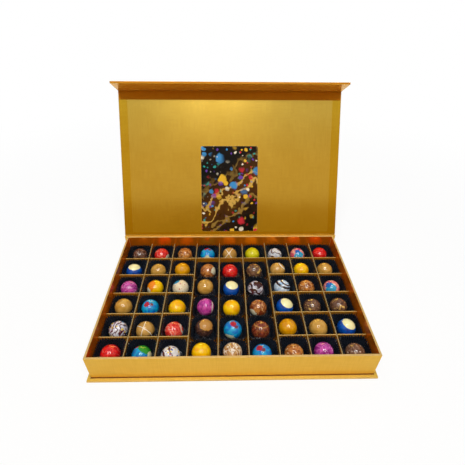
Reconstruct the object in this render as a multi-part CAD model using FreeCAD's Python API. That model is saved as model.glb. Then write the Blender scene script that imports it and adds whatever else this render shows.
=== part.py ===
import FreeCAD, Part
import math
import os

# A rigid gift box for chocolates: a glued tray on a hinged cover that closes with a magnetic flap.
# Millimetres and degrees. Origin at the centre of the base's underside, front towards -Y, +Z up.

# Chocolate families, one letter per cell, rear row first, seen from the front
layout = [
    "DRCSMYWSR",
    "BMYCRDMYM",
    "PYWMBWWCS",
    "MSYPYCBDD",
    "WMRMSCYMB",
    "RSWYMSCPD",
]
families = {
    "D": "dark",
    "R": "red",
    "C": "copper",
    "S": "splash",
    "M": "milk",
    "Y": "yellow",
    "W": "white",
    "B": "capped",
    "P": "magenta",
}

# Cells
column_pitch = 38.0
row_pitch = 37.2
side_columns = 3  # columns at each side that have cross dividers of their own

# Boards and papers
tray_board = 2.2
cover_board = 2.6
paper = 0.2
tray_height = 40.0
base_overhang = 4.4
edge_round = 0.4
turn_in = 17.0  # wrap paper turned over the left and right edges of lid, flap and base
short_turn_in = 8.0  # the same along the hinge and the fold
lining_overlap = 3.0  # how far a lining sheet covers the turned-in paper

# Cover joints
closing_gap = 0.3  # between the rim and the closed lid
flap_gap = 0.5  # between the front wall and the closed flap
flap_foot_gap = 0.6  # between the base and the closed flap's free edge
crease_radius = 0.3  # the ridge that a scored paper crease stands up in
hinge_gap = 0.7  # from the lid's rear edge to its crease
fold_gap = 0.9  # from the mitred lid and flap edges to their crease
lid_open = 118.5  # 0 is closed, 90 upright
flap_fold = 89.0  # 0 is in line with the lid, 90 closed

# Magnetic catch
magnet_diameter = 12.0
magnet_thickness = 1.5
plate_thickness = 1.0
catch_spacing = 180.0
catch_height = 22.0  # above the underside of the base
pocket_gap = 0.15

# Card glued inside the lid
card_width = 93.0
card_height = 140.0
card_thickness = 0.4
card_corner = 3.0
card_rise = 6.6  # from the hinge crease to the card's lower edge
card_shift = -2.0  # off the middle, to the left

# Dividers
divider_card = 1.2
divider_height = 23.5
divider_end_gap = 0.3
slot_gap = 0.2
tab_reach = 4.5  # lower tab of a side divider past the last long divider

# Paper cups
cup_height = 19.5
cup_paper = 0.25
cup_gap = 0.4  # from the rim to the dividers in front and behind
cup_side_gap = 0.8  # from the rim to the dividers at the left and right
cup_pleats = 16
pleat_depth = 1.5
cup_squareness = 4.0  # exponent of the rim's superellipse, 2 is a circle
seat_gap = 0.3  # around the chocolate's foot

# Chocolates
chocolate_diameter = 24.6
chocolate_foot = 7.0  # across the flat that a ball stands on

# Worked out from the values above
column_count = len(layout[0])
row_count = len(layout)
inner_width = column_count * column_pitch
inner_depth = row_count * row_pitch
wall = tray_board + 2 * paper
panel = cover_board + 2 * paper
tray_width = inner_width + 2 * wall
tray_depth = inner_depth + 2 * wall
cover_width = tray_width + 2 * base_overhang
base_front = -tray_depth / 2 - base_overhang
spine_front = tray_depth / 2
spine_rear = spine_front + cover_board + paper
tray_low = panel
floor_top = tray_low + tray_board + paper
rim = tray_low + tray_height
lid_low = rim + closing_gap
lid_high = lid_low + panel
lid_rear = spine_rear - hinge_gap
flap_inner = -tray_depth / 2 - flap_gap
flap_outer = flap_inner - panel
flap_low = panel + flap_foot_gap
hinge_axis = FreeCAD.Vector(0, spine_rear, rim + closing_gap / 2)
fold_axis = FreeCAD.Vector(0, flap_outer + paper / 2, lid_high - paper / 2)
opening_turn = FreeCAD.Vector(-1, 0, 0)
divider_top = floor_top + divider_height
half_lap = floor_top + divider_height / 2
chocolate_radius = chocolate_diameter / 2


def save(node, shape):
    shape.exportStep(f"parts/{node}.step")


def box(x_span, y_span, z_span):
    corner = FreeCAD.Vector(x_span[0], y_span[0], z_span[0])
    sizes = [high - low for low, high in (x_span, y_span, z_span)]
    return Part.makeBox(*sizes, corner)


def centred(width):
    return (-width / 2, width / 2)


def ring(outer, inner, z_span):
    body = box(centred(outer[0]), centred(outer[1]), z_span)
    return body.cut(box(centred(inner[0]), centred(inner[1]), z_span))


def prism(width, section):
    points = [FreeCAD.Vector(-width / 2, y, z) for y, z in section]
    face = Part.Face(Part.makePolygon(points + points[:1]))
    return face.extrude(FreeCAD.Vector(width, 0, 0))


def crease(axis):
    start = FreeCAD.Vector(-cover_width / 2, axis.y, axis.z)
    return Part.makeCylinder(crease_radius, cover_width, start, FreeCAD.Vector(1, 0, 0))


def catch_disc(x, y_from, thickness, radius):
    start = FreeCAD.Vector(x, y_from, catch_height)
    return Part.makeCylinder(radius, thickness, start, FreeCAD.Vector(0, 1, 0))


def catch_discs(y_from, thickness, extra=0.0):
    radius = magnet_diameter / 2 + extra
    return [catch_disc(x, y_from, thickness, radius) for x in centred(catch_spacing)]


def swing_lid(shape):
    shape.rotate(hinge_axis, opening_turn, lid_open)
    return shape


def swing_flap(shape):
    shape.rotate(fold_axis, opening_turn, 90 - flap_fold)
    return swing_lid(shape)


def column_x(boundary):
    return -inner_width / 2 + boundary * column_pitch


def row_y(boundary):
    return inner_depth / 2 - boundary * row_pitch


# Base and spine of the cover, with the sheet that wraps both
def make_case():
    wrap_width = cover_width - 2 * paper
    base_rear = spine_rear - paper
    base_z = (paper, panel - paper)
    base_board = box(centred(wrap_width), (base_front + paper, base_rear), base_z)
    spine_top = rim - paper
    spine_board = box(centred(wrap_width), (spine_front, base_rear), (panel, spine_top))
    save("base_board", base_board)
    save("spine_board", spine_board)

    base_skin = box(centred(cover_width), (base_front, spine_rear), (0, panel)).cut(base_board)
    window_y = (base_front + turn_in, spine_front - turn_in)
    window = box(centred(cover_width - 2 * turn_in), window_y, (panel - paper, panel))
    save("base_wrap", base_skin.cut(window))

    spine_skin = box(centred(cover_width), (spine_front, spine_rear), (panel, rim)).cut(spine_board)
    ends = []
    for side in (-1, 1):
        x_span = sorted((side * tray_width / 2, side * cover_width / 2))
        ends.append(box(x_span, (spine_front - paper, spine_front), (panel, rim)))
    save("spine_wrap", spine_skin.fuse([crease(hinge_axis)] + ends).removeSplitter())


# Lid: a board mitred at the fold, wrapped outside, lined inside
def make_lid():
    def section(inset):
        front = flap_outer + fold_gap
        return [
            (lid_rear - inset, lid_low + inset),
            (lid_rear - inset, lid_high - inset),
            (front + inset, lid_high - inset),
            (front + panel - inset, lid_low + inset),
        ]

    board = prism(cover_width - 2 * paper, section(paper))
    window_x = centred(cover_width - 2 * turn_in)
    inner_front = flap_inner + fold_gap
    window_y = (inner_front + short_turn_in, lid_rear - short_turn_in)
    window = box(window_x, window_y, (lid_low, lid_low + paper))
    skin = prism(cover_width, section(0)).cut(board).cut(window)
    hem_y = (fold_axis.y, flap_outer + fold_gap + paper)
    hem = box(centred(cover_width), hem_y, (lid_high - paper, lid_high))
    save("lid_board", swing_lid(board))
    save("lid_wrap", swing_lid(skin.fuse([hem, crease(fold_axis)]).removeSplitter()))

    sheet_x = centred(cover_width - 2 * (turn_in - lining_overlap))
    sheet_y = (window_y[0] - lining_overlap, window_y[1] + lining_overlap)
    sheet = box(sheet_x, sheet_y, (lid_low - paper, lid_low))
    save("lid_lining", swing_lid(sheet.fuse(window).removeSplitter()))

    card_rear = hinge_axis.y - card_rise
    card_face = lid_low - paper
    card_x = (card_shift - card_width / 2, card_shift + card_width / 2)
    card = box(card_x, (card_rear - card_height, card_rear), (card_face - card_thickness, card_face))
    upright = [e for e in card.Edges if abs(e.Length - card_thickness) < paper / 2]
    save("lid_card", swing_lid(card.makeFillet(card_corner, upright)))


# Flap: mitred against the lid, with two magnets let into its board
def make_flap():
    def section(inset):
        top = lid_high - fold_gap
        return [
            (flap_outer + inset, flap_low + inset),
            (flap_outer + inset, top - inset),
            (flap_inner - inset, top - panel + inset),
            (flap_inner - inset, flap_low + inset),
        ]

    board = prism(cover_width - 2 * paper, section(paper))
    window_z = (flap_low + short_turn_in, lid_low - fold_gap - short_turn_in)
    window = box(centred(cover_width - 2 * turn_in), (flap_inner - paper, flap_inner), window_z)
    skin = prism(cover_width, section(0)).cut(board).cut(window)
    magnet_face = flap_inner - paper - magnet_thickness
    pockets = catch_discs(magnet_face, magnet_thickness, pocket_gap)
    magnets = Part.makeCompound(catch_discs(magnet_face, magnet_thickness))
    save("flap_board", swing_flap(board.cut(pockets)))
    save("flap_wrap", swing_flap(skin))
    save("flap_magnets", swing_flap(magnets))

    sheet_x = centred(cover_width - 2 * (turn_in - lining_overlap))
    sheet_z = (window_z[0] - lining_overlap, window_z[1] + lining_overlap)
    sheet = box(sheet_x, (flap_inner, flap_inner + paper), sheet_z)
    save("flap_lining", swing_flap(sheet.fuse(window).removeSplitter()))


# Tray: floor and four walls of board, one wrap over the rim, a lining on the floor
def make_tray():
    board_width = tray_width - 2 * paper
    board_depth = tray_depth - 2 * paper
    board_top = rim - paper
    floor_board = box(centred(board_width), centred(board_depth), (tray_low, tray_low + tray_board))
    save("tray_floor", floor_board)

    wall_z = (tray_low + tray_board, board_top)
    front_y = (-board_depth / 2, -board_depth / 2 + tray_board)
    plate_face = front_y[0]
    front = box(centred(board_width), front_y, wall_z)
    rear = box(centred(board_width), (-front_y[1], -front_y[0]), wall_z)
    between = centred(board_depth - 2 * tray_board)
    left = box((-board_width / 2, -board_width / 2 + tray_board), between, wall_z)
    right = box((board_width / 2 - tray_board, board_width / 2), between, wall_z)
    save("tray_front_wall", front.cut(catch_discs(plate_face, plate_thickness, pocket_gap)))
    save("tray_rear_wall", rear)
    save("tray_left_wall", left)
    save("tray_right_wall", right)
    save("catch_plates", Part.makeCompound(catch_discs(plate_face, plate_thickness)))

    inside = (inner_width, inner_depth)
    shell = ring((tray_width, tray_depth), inside, (tray_low, rim))
    height = shell.BoundBox.ZLength
    upright = [e for e in shell.Edges if abs(e.Length - height) < paper]
    corners = [e for e in upright if abs(e.Vertexes[0].X) > inner_width / 2 + paper]
    shell = shell.makeFillet(edge_round, corners)
    top = [e for e in shell.Edges if min(v.Z for v in e.Vertexes) > rim - paper]
    shell = shell.makeFillet(edge_round, top)
    boards = ring((board_width, board_depth), (inner_width + 2 * paper, inner_depth + 2 * paper), wall_z)
    save("tray_wrap", shell.cut(boards).cut(floor_board))
    lining_z = (tray_low + tray_board, floor_top)
    save("tray_lining", box(centred(inner_width), centred(inner_depth), lining_z))


# Slotted card dividers, half lapped: long ones are slotted from below, cross ones from above
def long_divider(column, row_boundaries):
    x = column_x(column)
    x_span = (x - divider_card / 2, x + divider_card / 2)
    plate = box(x_span, centred(inner_depth - 2 * divider_end_gap), (floor_top, divider_top))
    for boundary in row_boundaries:
        slot = divider_card / 2 + slot_gap
        y_span = (row_y(boundary) - slot, row_y(boundary) + slot)
        plate = plate.cut(box(x_span, y_span, (floor_top, half_lap + slot_gap)))
    return plate


def cross_divider(x_span, row, columns, tab_side=0):
    y_span = (row_y(row) - divider_card / 2, row_y(row) + divider_card / 2)
    plate = box(x_span, y_span, (floor_top, divider_top))
    slot_z = (half_lap - slot_gap, divider_top)
    slot = divider_card / 2 + slot_gap
    for column in columns:
        plate = plate.cut(box((column_x(column) - slot, column_x(column) + slot), y_span, slot_z))
    if tab_side:
        last = column_x(columns[-1])
        end = x_span[1] if tab_side > 0 else x_span[0]
        plate = plate.cut(box(sorted((last, end)), y_span, slot_z))
    return plate


def make_dividers():
    inner_rows = list(range(1, row_count))
    half = inner_width / 2 - divider_end_gap
    for column in range(1, column_count):
        beside_centre = side_columns < column < column_count - side_columns
        boundaries = inner_rows[:1] if beside_centre else inner_rows
        save(f"long_divider_{column}", long_divider(column, boundaries))
    save("rear_cross_divider", cross_divider((-half, half), 1, range(1, column_count)))
    for row in inner_rows[1:]:
        left_columns = list(range(1, side_columns + 1))
        right_columns = [column_count - column for column in left_columns]
        left_end = column_x(side_columns) + tab_reach
        left = cross_divider((-half, left_end), row, left_columns, 1)
        right = cross_divider((-left_end, half), row, right_columns, -1)
        save(f"left_cross_divider_{row - 1}", left)
        save(f"right_cross_divider_{row - 1}", right)


# A pleated cup: a round floor, and pleats that open towards a squarish zigzag rim
def cup():
    half_width = (column_pitch - divider_card) / 2 - cup_side_gap
    half_depth = (row_pitch - divider_card) / 2 - cup_gap
    floor_radius = (chocolate_radius + seat_gap) / math.cos(math.pi / cup_pleats)

    def at(radius, step, z):
        angle = math.pi * step / cup_pleats
        return FreeCAD.Vector(radius * math.cos(angle), radius * math.sin(angle), z)

    def rim_radius(step):
        angle = math.pi * step / cup_pleats
        depth = pleat_depth if step % 2 else 0.0
        across = abs(math.cos(angle)) / (half_width - depth)
        along = abs(math.sin(angle)) / (half_depth - depth)
        return (across ** cup_squareness + along ** cup_squareness) ** (-1 / cup_squareness)

    steps = range(2 * cup_pleats)
    rims = [[at(rim_radius(s) - inset, s, cup_height) for s in steps] for inset in (0, cup_paper)]
    floors = [[at(floor_radius + cup_paper - inset, s, inset) for s in steps[1::2]] for inset in (0, cup_paper)]
    faces = []

    def flat(*points):
        faces.append(Part.Face(Part.makePolygon(list(points) + [points[0]])))

    for top, foot in zip(rims, floors):
        for pleat in range(cup_pleats):
            tip = top[2 * pleat]
            before, after = top[2 * pleat - 1], top[2 * pleat + 1]
            foot_before, foot_after = foot[pleat - 1], foot[pleat]
            flat(foot_before, foot_after, tip)
            flat(foot_before, tip, before)
            flat(foot_after, after, tip)
        flat(*foot)
    for s in steps:
        flat(rims[0][s - 1], rims[0][s], rims[1][s], rims[1][s - 1])
    solid = Part.Solid(Part.Shell(faces))
    if solid.Volume < 0:
        solid.reverse()
    return solid


# A moulded ball with a small flat foot
def chocolate():
    foot_radius = chocolate_foot / 2
    middle = math.sqrt(chocolate_radius ** 2 - foot_radius ** 2)
    centre = FreeCAD.Vector(0, 0, 0)
    foot = FreeCAD.Vector(foot_radius, 0, 0)
    side = FreeCAD.Vector(chocolate_radius, 0, middle)
    top = FreeCAD.Vector(0, 0, middle + chocolate_radius)
    edges = [
        Part.makeLine(centre, foot),
        Part.Arc(foot, side, top).toShape(),
        Part.makeLine(top, centre),
    ]
    return Part.Face(Part.Wire(edges)).revolve(centre, FreeCAD.Vector(0, 0, 1), 360)


def make_contents():
    one_cup = cup()
    one_chocolate = chocolate()
    for letter, family in families.items():
        cups = []
        chocolates = []
        for row, letters in enumerate(layout):
            for column, found in enumerate(letters):
                if found != letter:
                    continue
                place = FreeCAD.Vector(column_x(column + 0.5), row_y(row + 0.5), floor_top)
                cups.append(one_cup.translated(place))
                lifted = place + FreeCAD.Vector(0, 0, cup_paper)
                chocolates.append(one_chocolate.translated(lifted))
        save(f"{family}_cups", Part.makeCompound(cups))
        save(f"{family}_chocolates", Part.makeCompound(chocolates))


os.makedirs("parts", exist_ok=True)
make_case()
make_lid()
make_flap()
make_tray()
make_dividers()
make_contents()
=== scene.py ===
import math
import random

import bmesh
import bpy
from mathutils import Matrix, Vector, noise


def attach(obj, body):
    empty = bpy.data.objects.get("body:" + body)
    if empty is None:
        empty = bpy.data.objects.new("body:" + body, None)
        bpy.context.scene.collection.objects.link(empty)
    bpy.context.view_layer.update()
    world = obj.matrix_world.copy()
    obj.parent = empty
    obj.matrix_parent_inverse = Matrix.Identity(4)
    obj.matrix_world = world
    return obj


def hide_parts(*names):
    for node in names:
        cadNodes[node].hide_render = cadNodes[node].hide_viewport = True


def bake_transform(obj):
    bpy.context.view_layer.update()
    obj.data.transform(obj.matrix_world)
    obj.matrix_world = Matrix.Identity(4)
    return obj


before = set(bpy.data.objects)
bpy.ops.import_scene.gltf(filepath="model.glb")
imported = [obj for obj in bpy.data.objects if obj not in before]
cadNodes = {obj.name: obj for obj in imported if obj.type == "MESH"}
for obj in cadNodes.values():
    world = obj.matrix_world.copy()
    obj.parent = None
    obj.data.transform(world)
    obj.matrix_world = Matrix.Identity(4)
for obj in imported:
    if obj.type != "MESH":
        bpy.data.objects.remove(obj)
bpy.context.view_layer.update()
scene = bpy.context.scene
scene.view_settings.view_transform = "Standard"
mm = 0.001
print("frame loaded:", len(cadNodes), "CAD nodes")


class Sock:  # one socket of a node tree, with sums on it
    def __init__(self, nodes, socket):
        self.nodes = nodes
        self.socket = socket

    def sum(self, operation, first, second):
        return self.nodes.node("ShaderNodeMath", {"operation": operation}, {0: first, 1: second})

    def __add__(self, other):
        return self.sum("ADD", self, other)

    def __sub__(self, other):
        return self.sum("SUBTRACT", self, other)

    def __rsub__(self, other):
        return self.sum("SUBTRACT", other, self)

    def __mul__(self, other):
        return self.sum("MULTIPLY", self, other)

    def __truediv__(self, other):
        return self.sum("DIVIDE", self, other)

    def __rtruediv__(self, other):
        return self.sum("DIVIDE", other, self)

    def __pow__(self, other):
        return self.sum("POWER", self, other)

    def __gt__(self, other):
        return self.sum("GREATER_THAN", self, other)

    def __abs__(self):
        return self.of("ABSOLUTE")

    def of(self, operation):  # sine, fraction and the like of one value
        return self.sum(operation, self, 0.0)

    def least(self, other):
        return self.sum("MINIMUM", self, other)

    def most(self, other):
        return self.sum("MAXIMUM", self, other)

    def also(self, name):  # another output of the same node
        return Sock(self.nodes, self.socket.node.outputs[name])

    __radd__ = __add__
    __rmul__ = __mul__


class Nodes:  # adds nodes to one tree
    def __init__(self, tree):
        self.tree = tree

    def node(self, kind, settings=None, inputs=None, out=0):
        made = self.tree.nodes.new(kind)
        for key, value in (settings or {}).items():
            if key == "stops":
                elements = made.color_ramp.elements
                while len(elements) < len(value):
                    elements.new(1.0)
                for element, (position, colour) in zip(elements, value):
                    element.position = position
                    element.color = colour
            elif key == "interpolation":
                made.color_ramp.interpolation = value
            else:
                setattr(made, key, value)
        for key, value in (inputs or {}).items():
            if isinstance(value, Sock):
                self.tree.links.new(value.socket, made.inputs[key])
            else:
                made.inputs[key].default_value = value
        return Sock(self, made.outputs[out])

    def mix(self, factor, first, second):
        return self.node("ShaderNodeMix", {"data_type": "RGBA"}, {0: factor, 6: first, 7: second}, 2)

    def vec(self, operation, first, second, out=0):
        return self.node("ShaderNodeVectorMath", {"operation": operation}, {0: first, 1: second}, out)

    def dot(self, first, second):
        return self.vec("DOT_PRODUCT", first, second, 1)

    def scaled(self, vector, factor):
        return self.node("ShaderNodeVectorMath", {"operation": "SCALE"}, {0: vector, "Scale": factor})

    def vector(self, x, y, z=0.0):
        return self.node("ShaderNodeCombineXYZ", {}, {0: x, 1: y, 2: z})

    def parts(self, vector):
        first = self.node("ShaderNodeSeparateXYZ", {}, {0: vector})
        return first, first.also("Y"), first.also("Z")

    def step(self, value, low, high):
        settings = {"interpolation_type": "SMOOTHSTEP"}
        return self.node("ShaderNodeMapRange", settings, {0: value, 1: low, 2: high})

    def noise(self, vector, scale, detail=2.0, distortion=0.0, out="Fac"):
        values = {"Vector": vector, "Scale": scale, "Detail": detail, "Distortion": distortion}
        return self.node("ShaderNodeTexNoise", {}, values, out)

    def glow(self, strength, colour=(1.0, 1.0, 1.0, 1.0)):
        return self.node("ShaderNodeEmission", {}, {"Color": colour, "Strength": strength})

    def surface(self, shader, output="ShaderNodeOutputMaterial"):
        made = self.tree.nodes.new(output)
        self.tree.links.new(shader.socket, made.inputs["Surface"])


def hexColour(text):  # screen colour as written, to linear
    parts = [int(text[i:i + 2], 16) / 255 for i in (0, 2, 4)]
    linear = [c / 12.92 if c <= 0.04045 else ((c + 0.055) / 1.055) ** 2.4 for c in parts]
    return (*linear, 1.0)


class Finish(Nodes):  # a material on one Principled shader
    def __init__(self, name, fixed):
        self.material = bpy.data.materials.new(name)
        self.material.use_nodes = True
        super().__init__(self.material.node_tree)
        self.shader = self.tree.nodes["Principled BSDF"]
        for key, value in fixed.items():
            self.shader.inputs[key].default_value = value

    def feed(self, name, value):
        self.tree.links.new(value.socket, self.shader.inputs[name])

    def bump(self, height, strength, depth):
        values = {"Height": height, "Strength": strength, "Distance": depth}
        self.feed("Normal", self.node("ShaderNodeBump", {}, values))

    def between(self, factor, colours):
        return self.mix(factor, hexColour(colours[0]), hexColour(colours[1]))

    def drops(self, where, scale, ragged, stops):  # spots with ragged edges, each of one colour
        raggedScale, raggedBy = ragged
        rough = self.scaled(self.noise(where, raggedScale, out="Color"), raggedBy)
        values = {"Vector": self.vec("ADD", where, rough), "Scale": scale}
        away = self.node("ShaderNodeTexVoronoi", {}, values, "Distance")
        tone, lot = self.parts(away.also("Color"))[:2]
        colour = self.node("ShaderNodeValToRGB", {"stops": stops, "interpolation": "CONSTANT"}, {0: tone})
        return away, lot, colour


# Camera
cameraSettings = {
    "place": (-0.01009, -0.33894, 0.39614),
    "yaw": 1.634,
    "pitch": -37.334,
    "roll": 0.749,
    "focalPixels": 339.90,
    "imagePixels": 465,
    "sensor": 36.0,
    "nearest": 0.01,
}


def cameraAxes():
    yaw, pitch, roll = (math.radians(cameraSettings[k]) for k in ("yaw", "pitch", "roll"))
    ahead = Vector((math.sin(yaw) * math.cos(pitch), math.cos(yaw) * math.cos(pitch), math.sin(pitch)))
    level = Vector((math.cos(yaw), -math.sin(yaw), 0.0))
    upward = level.cross(ahead)
    right = math.cos(roll) * level + math.sin(roll) * upward
    return right, math.cos(roll) * upward - math.sin(roll) * level, ahead


def makeCamera():
    s = cameraSettings
    right, upward, ahead = cameraAxes()
    data = bpy.data.cameras.new("camera")
    data.sensor_width = s["sensor"]
    data.lens = s["focalPixels"] / s["imagePixels"] * s["sensor"]
    data.clip_start = s["nearest"]
    camera = bpy.data.objects.new("camera", data)
    scene.collection.objects.link(camera)
    turn = Matrix((right, upward, -ahead)).transposed().to_4x4()
    camera.matrix_world = Matrix.Translation(s["place"]) @ turn
    scene.camera = camera


makeCamera()
print("camera placed")

# Stage: a pale floor, and lights that the camera doesn't see
squareCorners = ((-1, -1), (1, -1), (1, 1), (-1, 1))
oneFace = [(0, 1, 2, 3)]
aimPoint = Vector((0.0, 0.0, 0.02))


def stageMesh(name, corners, faces, material, hiddenFrom=()):
    mesh = bpy.data.meshes.new(name)
    mesh.from_pydata(corners, [], faces)
    mesh.materials.append(material)
    made = bpy.data.objects.new(name, mesh)
    scene.collection.objects.link(made)
    for rays in hiddenFrom:
        setattr(made, "visible_" + rays, False)


def bareMaterial(name):
    material = bpy.data.materials.new(name)
    material.use_nodes = True
    material.node_tree.nodes.clear()
    return material, Nodes(material.node_tree)


def aimed(place):
    return (aimPoint - place).to_track_quat("-Z", "Y").to_matrix()


floorSettings = {
    "half": 20.0,
    "down": 0.0003,
    "matt": (0.9, 0.9, 0.9, 1.0),
    "white": 0.84,
    "fade": (0.35, 1.0),  # metres out, where it turns pure white
    "inMirrors": 0.3,
}


def makeFloor():
    s = floorSettings
    material, nodes = bareMaterial("paleFloor")
    where = nodes.node("ShaderNodeTexCoord", out="Object")
    away = nodes.vec("LENGTH", where, (0.0, 0.0, 0.0), 1)
    share = s["white"] + (1 - s["white"]) * nodes.step(away, *s["fade"])
    matt = nodes.node("ShaderNodeBsdfDiffuse", {}, {"Color": s["matt"]})
    path = nodes.node("ShaderNodeLightPath")
    straight = path.most(path.also("Is Transmission Ray"))
    factor = share * straight + s["inMirrors"] * path.also("Is Glossy Ray")
    nodes.surface(nodes.node("ShaderNodeMixShader", {}, {0: factor, 1: matt, 2: nodes.glow(1.0)}))
    corners = [(x * s["half"], y * s["half"], -s["down"]) for x, y in squareCorners]
    stageMesh("floor", corners, oneFace, material)


wallSettings = {
    "distance": 1.6,
    "half": 2.5,
    "top": 3.2,
    "strength": (0.365, 1.02),  # low down and high up
    "tints": ((1.0, 0.68, 0.08, 1.0), (0.98, 1.04, 1.0, 1.0)),
    "rise": (0.60, 2.12),  # the heights between which it changes
    "middle": 0.1,
    "spread": 0.58,
    "sideLoss": (0.7, 0.15),  # at the full rise, and what is taken off it
    "sideMost": 0.72,
}


def makeFrontWall():  # brighter towards the top and the middle, for the slope of light on the lid
    s = wallSettings
    low, high = s["strength"]
    gain, less = s["sideLoss"]
    material, nodes = bareMaterial("frontWall")
    x, y, z = nodes.parts(nodes.node("ShaderNodeTexCoord", out="Object"))
    rise = nodes.step(z, *s["rise"])
    aside = (x + s["middle"]) / s["spread"]
    sides = 1 - (gain * rise - less) * (aside * aside).least(s["sideMost"])
    level = (low + (high - low) * rise) * sides
    nodes.surface(nodes.glow(level, nodes.mix(rise, *s["tints"])))
    far, half, top = -s["distance"], s["half"], s["top"]
    corners = [(-half, far, 0.0), (half, far, 0.0), (half, far, top), (-half, far, top)]
    stageMesh("front_wall", corners, oneFace, material, ("camera", "shadow"))


ringSettings = {"place": (-0.03, -0.68, 2.11), "radius": 0.57, "width": 0.10, "strength": 31.0, "corners": 48}


def makeRingLamp():
    s = ringSettings
    material, nodes = bareMaterial("ringLamp")
    nodes.surface(nodes.glow(s["strength"]))
    place = Vector(s["place"])
    turn = aimed(place)
    count = s["corners"]
    corners = []
    for radius in (s["radius"] - s["width"] / 2, s["radius"] + s["width"] / 2):
        for i in range(count):
            angle = 2 * math.pi * i / count
            corners.append(place + turn @ Vector((radius * math.cos(angle), radius * math.sin(angle), 0.0)))
    faces = [(i, (i + 1) % count, count + (i + 1) % count, count + i) for i in range(count)]
    stageMesh("ring_lamp", corners, faces, material, ("camera", "shadow"))


barSettings = {"half": (0.5, 0.085), "behind": 0.03, "strength": 0.62, "tint": (1.0, 0.85, 0.5, 1.0)}


def makeLensBar():  # a dim warm bar just behind the lens, which the gold mirrors
    s = barSettings
    material, nodes = bareMaterial("lensBar")
    nodes.surface(nodes.glow(s["strength"], s["tint"]))
    right, upward, ahead = cameraAxes()
    place = Vector(cameraSettings["place"]) - ahead * s["behind"]
    wide, tall = s["half"]
    corners = [place + right * (wide * x) + upward * (tall * y) for x, y in squareCorners]
    stageMesh("lens_bar", corners, oneFace, material, ("camera", "shadow", "diffuse"))


overheadSettings = {"place": (0.0, 0.75, 1.5), "size": (2.4, 1.7), "power": 8.0}


def makeOverheadBox():
    s = overheadSettings
    data = bpy.data.lights.new("overhead_box", "AREA")
    data.shape = "RECTANGLE"
    data.size, data.size_y = s["size"]
    data.energy = s["power"]
    lamp = bpy.data.objects.new("overhead_box", data)
    scene.collection.objects.link(lamp)
    place = Vector(s["place"])
    lamp.matrix_world = Matrix.Translation(place) @ aimed(place).to_4x4()
    lamp.visible_glossy = False


worldSettings = {"forLight": 0.20, "forMirrors": 0.30}


def makeWorld():  # white to the camera, dimmer as a light and in mirrors
    world = bpy.data.worlds.new("studio")
    world.use_nodes = True
    world.node_tree.nodes.clear()
    nodes = Nodes(world.node_tree)
    low, mirrored = worldSettings["forLight"], worldSettings["forMirrors"]
    path = nodes.node("ShaderNodeLightPath")
    strength = low + (1 - low) * path + (mirrored - low) * path.also("Is Glossy Ray")
    sky = nodes.node("ShaderNodeBackground", {}, {"Color": (1.0, 1.0, 1.0, 1.0), "Strength": strength})
    nodes.surface(sky, "ShaderNodeOutputWorld")
    scene.world = world


makeFloor()
makeFrontWall()
makeRingLamp()
makeLensBar()
makeOverheadBox()
makeWorld()
print("stage set")


# Finishes of the box
paperSettings = {
    "fixed": {"Coat Roughness": 0.12, "Specular IOR Level": 0.15},
    "cloud": 22.0,
    "grain": 900.0,
    "thread": 130.0,
    "stretch": (5.0, 0.3),  # across a thread and along it
    "shares": (0.25, 0.4, 0.35),  # of cloud, warp and weft in the colour
    "contrast": (0.32, 0.68),
    "roughness": (-0.04, 0.05, 0.04),  # more or less, by cloud, by grain
    "coatFrom": (0.15, 0.6),
    "linenPitch": 0.0007,  # metres from thread to thread
    "linenHeight": 0.002,
    "linenGrain": 0.8,
    "wave": 9.0,
    "waveHeight": 0.05,
    "bump": (0.35, 0.0012),
}


def goldPaper(name, colours, roughness, coat, metal=1.0, emboss=1.0):
    s = paperSettings
    made = Finish(name, {"Metallic": metal, **s["fixed"]})
    where = made.node("ShaderNodeUVMap", {"uv_map": "paper"})  # metres along the sheet
    x, y, z = made.parts(where)
    thin, drawn = s["stretch"]
    cloud = made.noise(where, s["cloud"], 3.0)
    grain = made.noise(where, s["grain"])
    warp = made.noise(made.vector(x * thin, y * drawn), s["thread"])
    weft = made.noise(made.vector(x * drawn, y * thin), s["thread"])
    cloudShare, warpShare, weftShare = s["shares"]
    thread = cloudShare * cloud + warpShare * warp + weftShare * weft
    made.feed("Base Color", made.between(made.step(thread, *s["contrast"]), colours))
    more, byCloud, byGrain = s["roughness"]
    made.feed("Roughness", roughness + more + byCloud * cloud + byGrain * grain)
    made.feed("Coat Weight", coat * made.step(cloud, *s["coatFrom"]))
    turns = 2 * math.pi / s["linenPitch"]
    linen = (x * turns).of("SINE") + (y * turns).of("SINE") + s["linenGrain"] * grain
    wavy = made.noise(where, s["wave"])
    made.bump(linen * (s["linenHeight"] * emboss) + wavy * s["waveHeight"], *s["bump"])
    return made.material


edgeSettings = {"roughness": 0.8, "fibre": 700.0, "bump": (0.4, 0.0001)}


def cutEdge(name, colours):
    s = edgeSettings
    made = Finish(name, {"Roughness": s["roughness"]})
    fibre = made.noise(made.node("ShaderNodeTexCoord", out="Object"), s["fibre"], 3.0)
    made.feed("Base Color", made.between(fibre, colours))
    made.bump(fibre, *s["bump"])
    return made.material


metalSettings = {"cloud": 260.0, "rougher": 0.15}


def dullMetal(name, colours, roughness):
    s = metalSettings
    made = Finish(name, {"Metallic": 1.0})
    cloud = made.noise(made.node("ShaderNodeTexCoord", out="Object"), s["cloud"], 3.0)
    made.feed("Base Color", made.between(cloud, colours))
    made.feed("Roughness", roughness + s["rougher"] * cloud)
    return made.material


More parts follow.
